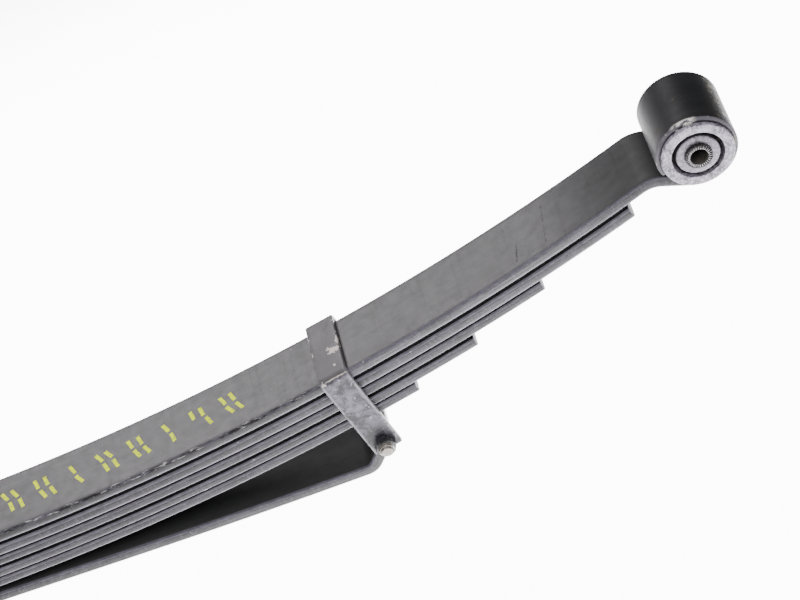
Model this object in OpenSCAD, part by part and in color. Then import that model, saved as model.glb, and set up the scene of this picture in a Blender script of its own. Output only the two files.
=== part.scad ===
// Multi-leaf semi-elliptic suspension spring: five curved leaves with
// liners between them, a flat overload leaf below, an upturned eye with a
// bonded bushing at each end, and a bolted rebound clip on each half.
// X runs along the spring, Y across it, Z up. The origin is on the centre
// bolt axis, on the underside of the overload leaf where the axle sits.

/* [Leaves] */
// Width of every leaf
leaf_w = 63.5; // [50:0.5:80]
// Thickness of the main leaf, the second leaf and the overload leaf
thick_t = 10.4; // [8:0.1:11.5]
// Thickness of the third, fourth and fifth leaves
thin_t = 8.7; // [7:0.1:10]
// Radius of the underside of the main leaf, before loading
main_r = 1806; // [1700:1:2000]
// Rounding of the rolled edges, as a share of the leaf's thickness
edge_share = 0.25; // [0.1:0.01:0.4]
// Angle from the centre bolt to an eye, about the centre of the arch
eye_ang = 24.31; // [22.5:0.01:26]
// Angle from the centre bolt to each end of the second leaf
tip2_ang = 22.05; // [20.5:0.01:22.2]
// Angle from the centre bolt to each end of the third leaf
tip3_ang = 19.08; // [18:0.01:20]
// Angle from the centre bolt to each end of the fourth leaf
tip4_ang = 16.82; // [16:0.01:17.8]
// Angle from the centre bolt to each end of the fifth leaf
tip5_ang = 14.89; // [14.3:0.01:15.8]

/* [Liners] */
// Thickness of the wide liners, under the first and third leaves
liner_wide = 3.5; // [2.5:0.1:4]
// Thickness of the narrow liners, under the second and fourth leaves
liner_thin = 1.6; // [1:0.1:2.4]
// How far a liner's side stays inside the leaves' side
liner_inset = 2.2; // [1:0.1:5]
// Thickness of the centre spacer above the overload leaf
spacer_t = 4.5; // [3:0.1:8]
// Length of the centre spacer
spacer_l = 110; // [80:1:150]

/* [Overload leaf] */
// Half length of the straight middle
flat_half = 200; // [150:1:220]
// Length of the gently curved outer part
help_arc_l = 212; // [190:1:216]
// Turn of the gently curved outer part, in degrees
help_arc_a = 2.2; // [1:0.1:3]
// Turn of the hooked tip, in degrees
hook_ang = 52; // [40:1:56]
// Length of the hooked tip after its bend
hook_l = 18; // [10:1:20]

/* [Eyes and bushings] */
// Outer radius of the rolled eye
eye_r = 33.4; // [32:0.1:36]
// How far the eye's centre stands above the main leaf's underside
eye_lift = 2.2; // [0:0.1:5]
// Direction in which the leaf runs down to the eye, in degrees
drop_ang = 44.8; // [40:0.1:48]
// Inside radius of the bend before the eye
bend_r = 20; // [15:1:26]
// Wall of the bushing's steel shell
shell_wall = 1.6; // [1.2:0.1:2]
// Radius of the shell's flange
flange_r = 29.8; // [27:0.1:31]
// Thickness of the shell's flange
flange_t = 3.2; // [2:0.1:4]
// Outer radius of the moulded ring around the inner sleeve
ring_r = 17.8; // [15:0.1:18.5]
// Depth of the moulded groove in each end of the rubber
groove_d = 12; // [8:0.5:18]
// Outer radius of the inner sleeve
sleeve_r = 11; // [10:0.1:12]
// Radius of the inner sleeve's bore
sleeve_bore = 7.35; // [6:0.05:8.2]
// Length of the inner sleeve
sleeve_l = 76; // [74:0.5:84]
// Number of radial teeth on each end of the inner sleeve
teeth = 30; // [20:1:36]

/* [Rebound clips] */
// Angle from the centre bolt to a clip
clip_ang = 13.36; // [13:0.01:13.7]
// Width of the clip's strap
clip_w = 25; // [20:0.5:28]
// Thickness of the clip's strap
clip_t = 5; // [4:0.1:6]
// Length of the clip's legs below the main leaf's underside
clip_drop = 80.5; // [78:0.5:86]
// Distance of the clip bolt below the main leaf's underside
clip_bolt_drop = 72.5; // [71:0.5:74]
// Gap between the clip and the leaves
clip_gap = 0.6; // [0.4:0.1:1.2]
// Outer radius of the spacer tube on the clip bolt
tube_r = 8; // [7:0.1:8.5]

/* [Hidden] */
slack = 0.05;
hair = 0.05;
lap = 0.7;
r1i = main_r - thick_t;
r2i = main_r + liner_wide;
r3i = r2i + thick_t + liner_thin;
r4i = r3i + thin_t + liner_wide;
r5i = r4i + thin_t + liner_thin;
stack_r = r5i + thin_t;
arch_z = thick_t + spacer_t + stack_r;
top_z = arch_z - r1i;
eye_arm = main_r - eye_lift;
eye_in = eye_r - thick_t;
nx = sin(drop_ang);
nz = cos(drop_ang);
// The bend's centre lies on a line that runs beside the straight drop, at the
// distance from the arch's centre that makes the bend tangent to both.
bx = -(eye_r + bend_r) * nx;
bz = -(eye_r + bend_r) * nz - eye_arm;
bh = bx * nz - bz * nx;
bs = -bh + sqrt(bh * bh - bx * bx - bz * bz + pow(main_r + bend_r, 2));
cx = bx + bs * nz;
cz = bz + eye_arm - bs * nx;
bend_start = atan2(eye_arm - cz, -cx);
arc_half = eye_ang - (90 - bend_start);
// The rolled end stops where its outside would meet the straight drop.
roll_end = 270 - drop_ang - acos(eye_in / eye_r) - 1.6;
lap_a = lap / main_r * 180 / PI;
help_t = thick_t;
bolt_r = 5;
pin_r = 6.35;

// Cross-section of a rolled leaf, from x = 0 to t, centred on y.
module section(t, w, r) {
  translate([r, -w / 2]) square([t - 2 * r, w]);
  translate([0, -w / 2 + r]) square([t, w - 2 * r]);
  for (x = [r, t - r], y = [-w / 2 + r, w / 2 - r])
    translate([x, y]) circle(r = r, $fn = 32);
}

// A leaf bent about Y, at radius ri, between two angles taken from +X to +Z.
// g takes a hair off every side, so that a run that ends inside its
// neighbour has no face on top of the neighbour's.
module bent(ri, t, w, r, a0, a1, fn = 720, g = 0)
  rotate([90, 0, 0]) rotate([0, 0, a0])
    rotate_extrude(angle = a1 - a0, $fn = fn)
      translate([ri + g, 0]) section(t - 2 * g, w - 2 * g, r);

// A straight length of leaf along +X, its underside on z = 0.
module straight(l, t, w, r, g = 0)
  translate([0, 0, g]) rotate([0, 90, 0]) linear_extrude(l)
    translate([-t + 2 * g, 0]) section(t - 2 * g, w - 2 * g, r);

// Puts its children at an angle along the arch; z = 0 on the main leaf's
// underside, +X away from the centre bolt.
module on_arch(ang, r = main_r)
  translate([0, 0, arch_z]) rotate([0, -ang, 0]) translate([0, 0, -r])
    children();

module at_eye() on_arch(eye_ang, eye_arm) children();
module rear() mirror([1, 0, 0]) children();
module across(r, y0, y1, fn = 96)
  translate([0, y0, 0]) rotate([-90, 0, 0])
    cylinder(r = r, h = y1 - y0, $fn = fn);

module pin_hole() translate([0, 0, -5]) cylinder(r = pin_r + 0.25, h = top_z + 20, $fn = 64);

// Bend, straight drop and rolled eye, in the eye's own frame.
module eye_end() {
  e = thick_t * edge_share;
  translate([cx, 0, cz]) bent(bend_r, thick_t, leaf_w, e, 90 - drop_ang, bend_start, 180);
  rotate([0, drop_ang, 0]) translate([bs - lap, 0, -eye_r])
    straight(2 * lap - bs, thick_t, leaf_w, e, hair);
  bent(eye_in, thick_t, leaf_w, e, -90 - drop_ang, roll_end, 144);
}

module main_leaf() color("#8c8c92") {
  e = thick_t * edge_share;
  difference() {
    translate([0, 0, arch_z])
      bent(r1i, thick_t, leaf_w, e, -90 - arc_half - lap_a, -90 + arc_half + lap_a, 720, hair);
    pin_hole();
  }
  at_eye() eye_end();
  rear() at_eye() eye_end();
}

module arch_leaf(ri, t, tip) color("#85858b")
  difference() {
    translate([0, 0, arch_z]) bent(ri, t, leaf_w, t * edge_share, -90 - tip, -90 + tip);
    pin_hole();
  }
module second_leaf() arch_leaf(r2i, thick_t, tip2_ang);
module third_leaf() arch_leaf(r3i, thin_t, tip3_ang);
module fourth_leaf() arch_leaf(r4i, thin_t, tip4_ang);
module fifth_leaf() arch_leaf(r5i, thin_t, tip5_ang);

module liner(ri, t, tip) color("#1c1c1e")
  difference() {
    translate([0, 0, arch_z])
      bent(ri + slack, t - 2 * slack, leaf_w - 2 * liner_inset, 0.3, -90 - tip, -90 + tip);
    pin_hole();
  }
module liner_1_2() liner(main_r, liner_wide, tip2_ang - 0.06);
module liner_2_3() liner(r2i + thick_t, liner_thin, tip3_ang - 0.06);
module liner_3_4() liner(r3i + thin_t, liner_wide, tip4_ang - 0.06);
module liner_4_5() liner(r4i + thin_t, liner_thin, tip5_ang - 0.06);

module centre_spacer() color("#6f6f74")
  difference() {
    translate([-spacer_l / 2, -leaf_w / 2 + 1, help_t + slack])
      cube([spacer_l, leaf_w - 2, spacer_t - 2 * slack]);
    pin_hole();
  }

// Outer part of the overload leaf: gently curved, then hooked up.
module overload_end() {
  e = help_t * edge_share;
  ra = help_arc_l / (help_arc_a * PI / 180);
  la = lap / ra * 180 / PI;
  lh = 0.5 / (7 + help_t) * 180 / PI;
  translate([flat_half, 0, ra]) {
    bent(ra - help_t, help_t, leaf_w, e, -90 - la, -90 + help_arc_a + la, 1440, hair);
    rotate([0, -help_arc_a, 0]) translate([0, 0, -ra + help_t + 7]) {
      bent(7, help_t, leaf_w, e, -90 - lh, -90 + hook_ang, 144);
      rotate([0, -hook_ang, 0]) translate([-lap, 0, -help_t - 7])
        straight(hook_l + lap, help_t, leaf_w, e, hair);
    }
  }
}
module overload_leaf() color("#8a8a90") {
  difference() {
    translate([-flat_half, 0, 0]) straight(2 * flat_half, help_t, leaf_w, help_t * edge_share);
    pin_hole();
    // chamfered mouth, wider than the bolt's head, so a flat seat lies on the face
    translate([0, 0, -0.01]) cylinder(r1 = 8.26, r2 = pin_r + 0.25, h = 1.66, $fn = 64);
  }
  overload_end();
  rear() overload_end();
}

module centre_bolt() color("#4a4a4e") {
  translate([0, 0, -6]) cylinder(r = 8, h = 6, $fn = 64);
  cylinder(r1 = 8, r2 = pin_r, h = 1.6, $fn = 64);
  translate([0, 0, -0.5]) cylinder(r = pin_r, h = top_z + 14.5, $fn = 64);
}
module centre_nut() color("#55555a")
  difference() {
    translate([0, 0, top_z + slack]) {
      cylinder(r = 11, h = 1.2, $fn = 64);
      translate([0, 0, 1.2]) cylinder(r = 19 / sqrt(3), h = 9.6, $fn = 6);
    }
    cylinder(r = pin_r, h = top_z + 30, $fn = 64);
  }

// Steel shell pressed into the eye, with a flange against the eye's side.
module bushing_shell() color("#b9b6c0")
  at_eye() difference() {
    union() {
      across(eye_in, -leaf_w / 2 - flange_t, leaf_w / 2);
      across(flange_r, -leaf_w / 2 - flange_t, -leaf_w / 2);
    }
    across(eye_in - shell_wall, -leaf_w, leaf_w);
  }

// Rubber bonded in the shell, with a moulded groove round each end.
module bushing_rubber() color("#a7a4ae")
  at_eye() difference() {
    union() {
      across(ring_r, -leaf_w / 2 - flange_t + 0.4, leaf_w / 2 + 1);
      across(eye_in - shell_wall, -leaf_w / 2 - flange_t + groove_d, leaf_w / 2 - groove_d + 2);
    }
    across(sleeve_r + slack, -leaf_w, leaf_w);
  }

// Inner sleeve with toothed ends that bite into the hanger.
module bushing_sleeve() color("#9b99a1")
  at_eye() difference() {
    across(sleeve_r, -sleeve_l / 2, sleeve_l / 2);
    across(sleeve_bore, -leaf_w, leaf_w);
    for (i = [0 : teeth - 1], s = [-1, 1])
      rotate([0, i * 360 / teeth, 0]) translate([sleeve_bore - 1, s * sleeve_l / 2, 0])
        translate([0, -0.7, -0.42]) cube([sleeve_r - sleeve_bore + 0.2, 1.4, 0.84]);
  }

module front_bushing_shell() bushing_shell();
module front_bushing_rubber() bushing_rubber();
module front_bushing_sleeve() bushing_sleeve();
module rear_bushing_shell() rear() bushing_shell();
module rear_bushing_rubber() rear() bushing_rubber();
module rear_bushing_sleeve() rear() bushing_sleeve();

// Outline of a strap bent over the pack, seen along the spring.
module strap_outline(half_w, top, low, r) {
  translate([-half_w, low]) square([2 * half_w, top - r - low]);
  translate([-half_w + r, low]) square([2 * half_w - 2 * r, top - low]);
  for (s = [-1, 1]) translate([s * (half_w - r), top - r]) circle(r = r, $fn = 48);
}
module clip_strap() color("#9c9aa2")
  on_arch(clip_ang) difference() {
    translate([-clip_w / 2, 0, 0]) rotate([90, 0, 90]) linear_extrude(clip_w) difference() {
      strap_outline(leaf_w / 2 + clip_gap + clip_t, thick_t + clip_gap + clip_t, -clip_drop, 6);
      strap_outline(leaf_w / 2 + clip_gap, thick_t + clip_gap, -clip_drop - 5, 1.4);
    }
    translate([0, 0, -clip_bolt_drop]) across(bolt_r + 0.25, -leaf_w, leaf_w);
  }
clip_y = leaf_w / 2 + clip_gap + clip_t;
module clip_bolt() color("#7d7c83")
  on_arch(clip_ang) translate([0, 0, -clip_bolt_drop]) {
    across(bolt_r, -clip_y - 11.5, clip_y + 1);
    translate([0, clip_y + 0.02, 0]) rotate([-90, 0, 0]) {
      cylinder(r = 8.2, h = 0.8, $fn = 64);
      translate([0, 0, 0.8]) rotate([0, 0, 20]) cylinder(r = 16 / sqrt(3), h = 6.2, $fn = 6);
    }
  }
module clip_nut() color("#bdbac2")
  on_arch(clip_ang) translate([0, 0, -clip_bolt_drop]) difference() {
    translate([0, -clip_y - 0.02, 0]) rotate([90, 0, 0]) {
      rotate([0, 0, 12]) cylinder(r = 16 / sqrt(3), h = 7, $fn = 6);
      translate([0, 0, 7]) cylinder(r = 6.6, h = 3, $fn = 64);
    }
    across(bolt_r, -leaf_w, leaf_w);
  }
module clip_tube() color("#5a5a5f")
  on_arch(clip_ang) translate([0, 0, -clip_bolt_drop]) difference() {
    across(tube_r, -leaf_w / 2 - clip_gap + 0.3, leaf_w / 2 + clip_gap - 0.3);
    across(bolt_r + slack, -leaf_w, leaf_w);
  }

module front_clip_strap() clip_strap();
module front_clip_bolt() clip_bolt();
module front_clip_nut() clip_nut();
module front_clip_tube() clip_tube();
module rear_clip_strap() rear() clip_strap();
module rear_clip_bolt() rear() clip_bolt();
module rear_clip_nut() rear() clip_nut();
module rear_clip_tube() rear() clip_tube();

main_leaf();
second_leaf();
third_leaf();
fourth_leaf();
fifth_leaf();
overload_leaf();
liner_1_2();
liner_2_3();
liner_3_4();
liner_4_5();
centre_spacer();
centre_bolt();
centre_nut();
front_bushing_shell();
front_bushing_rubber();
front_bushing_sleeve();
rear_bushing_shell();
rear_bushing_rubber();
rear_bushing_sleeve();
front_clip_strap();
front_clip_bolt();
front_clip_nut();
front_clip_tube();
rear_clip_strap();
rear_clip_bolt();
rear_clip_nut();
rear_clip_tube();
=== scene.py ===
import math

import bpy
import numpy as np
from mathutils import Matrix, Vector


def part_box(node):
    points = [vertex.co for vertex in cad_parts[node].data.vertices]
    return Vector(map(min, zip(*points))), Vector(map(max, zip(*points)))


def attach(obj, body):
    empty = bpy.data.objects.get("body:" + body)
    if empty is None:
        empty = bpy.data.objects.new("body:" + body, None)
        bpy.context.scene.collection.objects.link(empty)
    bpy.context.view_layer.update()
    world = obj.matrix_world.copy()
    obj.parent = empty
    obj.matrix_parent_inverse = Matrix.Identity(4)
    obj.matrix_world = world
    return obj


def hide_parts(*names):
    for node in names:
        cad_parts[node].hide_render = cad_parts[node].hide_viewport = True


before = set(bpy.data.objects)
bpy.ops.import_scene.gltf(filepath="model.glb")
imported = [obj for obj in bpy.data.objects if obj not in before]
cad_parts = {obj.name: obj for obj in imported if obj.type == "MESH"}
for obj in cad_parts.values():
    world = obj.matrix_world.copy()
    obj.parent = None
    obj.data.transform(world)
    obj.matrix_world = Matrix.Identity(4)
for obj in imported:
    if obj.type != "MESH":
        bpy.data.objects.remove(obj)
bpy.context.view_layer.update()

# ------------------------------------------------------------------ sizes
# The leaves' sizes, in millimetres, as in the CAD source.
W = 63.5
T1, T3 = 10.4, 8.7
GW, GT = 3.5, 1.6
R1 = 1806.0
R1I = R1 - T1
R2I = R1 + GW
R3I = R2I + T1 + GT
R4I = R3I + T3 + GW
R5I = R4I + T3 + GT
STACK = R5I + T3
ARCH_Z = T1 + 4.5 + STACK
EYE_A, TIP2, TIP3, TIP4, TIP5 = 24.31, 22.05, 19.08, 16.82, 14.89
EYE_R, EYE_LIFT, DROP, BEND_R = 33.4, 2.2, 44.8, 20.0
EYE_ARM = R1 - EYE_LIFT
EYE_IN = EYE_R - T1
FLAT, ARC_L, ARC_A, HOOK_A, HOOK_L = 200.0, 212.0, 2.2, 52.0, 18.0
CLIP_A, CLIP_W, CLIP_T, CLIP_DROP, CLIP_BOLT, CLIP_GAP = 13.36, 25.0, 5.0, 80.5, 72.5, 0.6
SHELL_T, FLANGE_R, RING_R, GROOVE = 1.6, 29.8, 17.8, 12.0
flo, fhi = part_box("front_bushing_shell")
slo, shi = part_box("front_bushing_sleeve")
FLANGE_T = -flo[1] * 1000 - W / 2
SLEEVE_L = (shi[1] - slo[1]) * 1000
SLEEVE_R, SLEEVE_B, TEETH = 11.0, 7.35, 30
rad = math.radians


def on_arch(a, x, y, z, r=R1):
    """A point at an angle along the arch; z = 0 on the main leaf's underside."""
    a = rad(a)
    t = np.array([math.cos(a), 0, math.sin(a)])
    n = np.array([-math.sin(a), 0, math.cos(a)])
    return np.array([0, 0, ARCH_Z]) + x * t + np.array([0, y, 0]) + (z - r) * n


EYE = on_arch(EYE_A, 0, 0, 0, EYE_ARM)
BOLT = on_arch(CLIP_A, 0, 0, -CLIP_BOLT)


# ------------------------------------------------------------- mesh making
def make(name, verts, faces, body, mats, attrs=None, mirror=False, sharp=32, fmat=None, slot=None, node=None):
    v = np.array(verts, float) / 1000.0
    f = [list(q) for q in faces]
    if mirror:
        v = v * np.array([-1, 1, 1])
        f = [q[::-1] for q in f]
    me = bpy.data.meshes.new(name)
    me.from_pydata(v.tolist(), [], f)
    me.validate()
    me.update()
    me.shade_smooth()
    me.set_sharp_from_angle(angle=rad(sharp))
    for k, (kind, vals) in (attrs or {}).items():
        a = me.attributes.new(k, kind, "POINT")
        arr = np.array(vals, np.float32)
        if kind == "FLOAT_VECTOR":
            a.data.foreach_set("vector", arr.ravel())
        else:
            a.data.foreach_set("value", arr.ravel())
    for m in mats if isinstance(mats, (list, tuple)) else [mats]:
        me.materials.append(m)
    if fmat is not None:
        me.polygons.foreach_set("material_index", np.array(fmat, np.int32))
    ob = bpy.data.objects.new(name, me)
    bpy.context.scene.collection.objects.link(ob)
    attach(ob, body)
    if node:
        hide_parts(node)
    return ob


def leaf_section(t, w, r, crown, nc=7):
    """Loop of (depth below the top face, y), with an edge and a side value for each point."""
    pts = []

    def corner(cd, cy, a0, a1):
        for i in range(nc):
            a = rad(a0 + (a1 - a0) * i / (nc - 1))
            e = math.sin(math.pi * i / (nc - 1))
            s = abs(math.cos(a))
            pts.append((cd - r * math.sin(a), cy + (r) * math.cos(a), e, s))

    hw = w / 2
    ys = np.linspace(-hw + r, hw - r, 14)
    # top face, from -y to +y
    for y in ys[1:-1]:
        pts.append((0.0, y, 0.0, 0.0))
    corner(r, hw - r, 90, 0)
    for k in (0.25, 0.5, 0.75):
        pts.append((r + (t - 2 * r) * k, hw, 0.0, 1.0))
    corner(t - r, hw - r, 0, -90)
    for y in ys[::-1][1:-1]:
        pts.append((t, y, 0.0, 0.0))
    corner(t - r, -hw + r, -90, -180)
    for k in (0.75, 0.5, 0.25):
        pts.append((r + (t - 2 * r) * k, -hw, 0.0, 1.0))
    corner(r, -hw + r, 180, 90)
    out = []
    for d, y, e, s in pts:
        # a rolled side is crowned: fullest at mid thickness
        k = (d - t / 2) / (t / 2)
        if abs(y) > hw - r:
            y -= math.copysign(crown * k * k, y) * (abs(y) - (hw - r)) / r
        out.append((d, y, e, s))
    return out


def sweep(name, frames, t, w, r, body, mats, crown=0.35, mirror=False, node=None, cap=0.5, wave=0.0, seed=1, slot="leaf_paint", nc=7):
    """frames: (x, z, tangent angle in radians, distance along). The section hangs below the top line."""
    sec = leaf_section(t, w, r, crown, nc)
    n = len(sec)
    rng = np.random.RandomState(seed)
    ph = rng.uniform(0, 6.28, 8)
    verts, faces, co, ed, sd = [], [], [], [], []

    def ring(fr, inset):
        x, z, a, s = fr
        tn = np.array([math.cos(a), 0, math.sin(a)])
        up = np.array([-math.sin(a), 0, math.cos(a)])
        for d, y, e, q in sec:
            dd = d + (inset if d < t / 2 else -inset) * min(1, abs(d - t / 2) / (t / 2) * 1.02)
            yy = y - math.copysign(inset, y) * min(1, abs(y) / (w / 2))
            if wave:
                dd += wave * (0.5 + 0.25 * math.sin(s * 0.021 + y * 0.05 + ph[0]) + 0.25 * math.sin(s * 0.047 - y * 0.09 + ph[1])) * (1 if d < t / 2 else -1)
            p = np.array([x, 0, z]) - dd * up + np.array([0, yy, 0])
            verts.append(p)
            co.append((s / 1000, y / 1000, d / 1000))
            ed.append(e)
            sd.append(q)

    k = cap

    def shifted(fr, ds):
        x, z, a, s = fr
        return (x + ds * math.cos(a), z + ds * math.sin(a), a, s + ds)

    rings = [(frames[0], k), (shifted(frames[0], k * 0.3), k * 0.3), (shifted(frames[0], k), 0.0)]
    rings += [(f, 0.0) for f in frames[1:-1]]
    rings += [(shifted(frames[-1], -k), 0.0), (shifted(frames[-1], -k * 0.3), k * 0.3), (frames[-1], k)]
    for fr, i in rings:
        ring(fr, i)
    m = len(rings)
    for i in range(m - 1):
        for j in range(n):
            a, b = i * n + j, i * n + (j + 1) % n
            c, d = (i + 1) * n + (j + 1) % n, (i + 1) * n + j
            faces.append((a, b, c, d))
    faces.append(tuple(range(n))[::-1])
    faces.append(tuple((m - 1) * n + j for j in range(n)))
    for i in (0, 1, m - 2, m - 1):
        for j in range(n):
            ed[i * n + j] = max(ed[i * n + j], 0.8)
    # orientation: make sure that normals face out
    v = np.array(verts)
    c = (v[faces[10][0]] + v[faces[10][2]]) / 2
    p0, p1, p2 = v[faces[10][0]], v[faces[10][1]], v[faces[10][2]]
    nrm = np.cross(p1 - p0, p2 - p0)
    mid = v[(0) : n].mean(0)
    if np.dot(nrm, c - mid) < 0:
        faces = [f[::-1] for f in faces]
    return make(name, verts, faces, body, mats, {"pc": ("FLOAT_VECTOR", co), "edge": ("FLOAT", ed), "side": ("FLOAT", sd)}, mirror, 40, slot=slot, node=node)


def arch_frames(ri, a0, a1, step=8.0):
    n = max(8, int(abs(a1 - a0) * math.pi / 180 * ri / step))
    out = []
    for i in range(n + 1):
        a = a0 + (a1 - a0) * i / n
        out.append((ri * math.sin(rad(a)), ARCH_Z - ri * math.cos(rad(a)), rad(a), ri * rad(a)))
    return out


# Bend, straight drop and rolled eye: centres as in the CAD source.
nx, nz = math.sin(rad(DROP)), math.cos(rad(DROP))
bx, bz = -(EYE_R + BEND_R) * nx, -(EYE_R + BEND_R) * nz - EYE_ARM
bh = bx * nz - bz * nx
bs = -bh + math.sqrt(bh * bh - bx * bx - bz * bz + (R1 + BEND_R) ** 2)
cx, cz = bx + bs * nz, bz + EYE_ARM - bs * nx
bend_start = math.degrees(math.atan2(EYE_ARM - cz, -cx))
ARC_HALF = EYE_A - (90 - bend_start)
ROLL_END = 270 - DROP - math.degrees(math.acos(EYE_IN / EYE_R)) - 1.6


def eye_local(x, z):
    p = on_arch(EYE_A, x, 0, z, EYE_ARM)
    return p[0], p[2]


def main_half():
    fr = arch_frames(R1I, 0, ARC_HALF)
    s = fr[-1][3]
    ea = rad(EYE_A)
    n = 26
    for i in range(1, n + 1):
        al = bend_start + (90 - DROP - bend_start) * i / n
        x, z = eye_local(cx + (BEND_R + T1) * math.cos(rad(al)), cz + (BEND_R + T1) * math.sin(rad(al)))
        s += abs(90 - DROP - bend_start) / n * math.pi / 180 * (BEND_R + T1 / 2)
        fr.append((x, z, rad(al - 90) + ea, s))
    x1, z1, a1, _ = fr[-1]
    for i in range(1, 6):
        d = -bs * i / 5
        fr.append((x1 + d * math.cos(a1), z1 + d * math.sin(a1), a1, s + d))
    s += -bs
    b0, b1 = -90 - DROP, ROLL_END
    n = 110
    for i in range(1, n + 1):
        be = b0 + (b1 - b0) * i / n
        x, z = eye_local(EYE_IN * math.cos(rad(be)), EYE_IN * math.sin(rad(be)))
        s += (b1 - b0) / n * math.pi / 180 * (EYE_IN + T1 / 2)
        fr.append((x, z, rad(be + 90) + ea, s))
    return fr


def mirrored(fr):
    """The same half on the other side, run from its far end to the middle."""
    return [(-x, z, -a, -s) for x, z, a, s in reversed(fr)]


def overload_frames():
    fr = [(x, T1, 0.0, x) for x in np.linspace(0, FLAT, 26)]
    ra = ARC_L / rad(ARC_A)
    n = 24
    for i in range(1, n + 1):
        a = rad(ARC_A) * i / n
        fr.append((FLAT + (ra - T1) * math.sin(a), ra - (ra - T1) * math.cos(a), a, FLAT + ARC_L * i / n))
    x0, z0, a0, s0 = fr[-1]
    c = (x0 - 7 * math.sin(a0), z0 + 7 * math.cos(a0))
    for i in range(1, 19):
        a = a0 + rad(HOOK_A) * i / 18
        fr.append((c[0] + 7 * math.sin(a), c[1] - 7 * math.cos(a), a, s0 + rad(HOOK_A) * i / 18 * (7 + T1 / 2)))
    x0, z0, a0, s0 = fr[-1]
    for i in range(1, 5):
        d = HOOK_L * i / 4
        fr.append((x0 + d * math.cos(a0), z0 + d * math.sin(a0), a0, s0 + d))
    return fr


def fillet(pts, radii, n=5):
    """Rounds the corners of a closed outline; radii is one number or one for each point."""
    out = []
    m = len(pts)
    for i, p in enumerate(pts):
        r = radii[i] if isinstance(radii, (list, tuple)) else radii
        if r <= 0:
            out.append(tuple(p))
            continue
        a, b, c = Vector(pts[i - 1]), Vector(p), Vector(pts[(i + 1) % m])
        u, v = (a - b).normalized(), (c - b).normalized()
        ang = u.angle(v)
        d = min(r / math.tan(ang / 2), (a - b).length * 0.49, (c - b).length * 0.49)
        rr = d * math.tan(ang / 2)
        cen = b + (u + v).normalized() * (rr / math.sin(ang / 2))
        s, e = b + u * d - cen, b + v * d - cen
        a0, a1 = math.atan2(s.y, s.x), math.atan2(e.y, e.x)
        da = (a1 - a0 + math.pi) % (2 * math.pi) - math.pi
        for k in range(n + 1):
            t = a0 + da * k / n
            out.append((cen.x + rr * math.cos(t), cen.y + rr * math.sin(t)))
    return out


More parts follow.
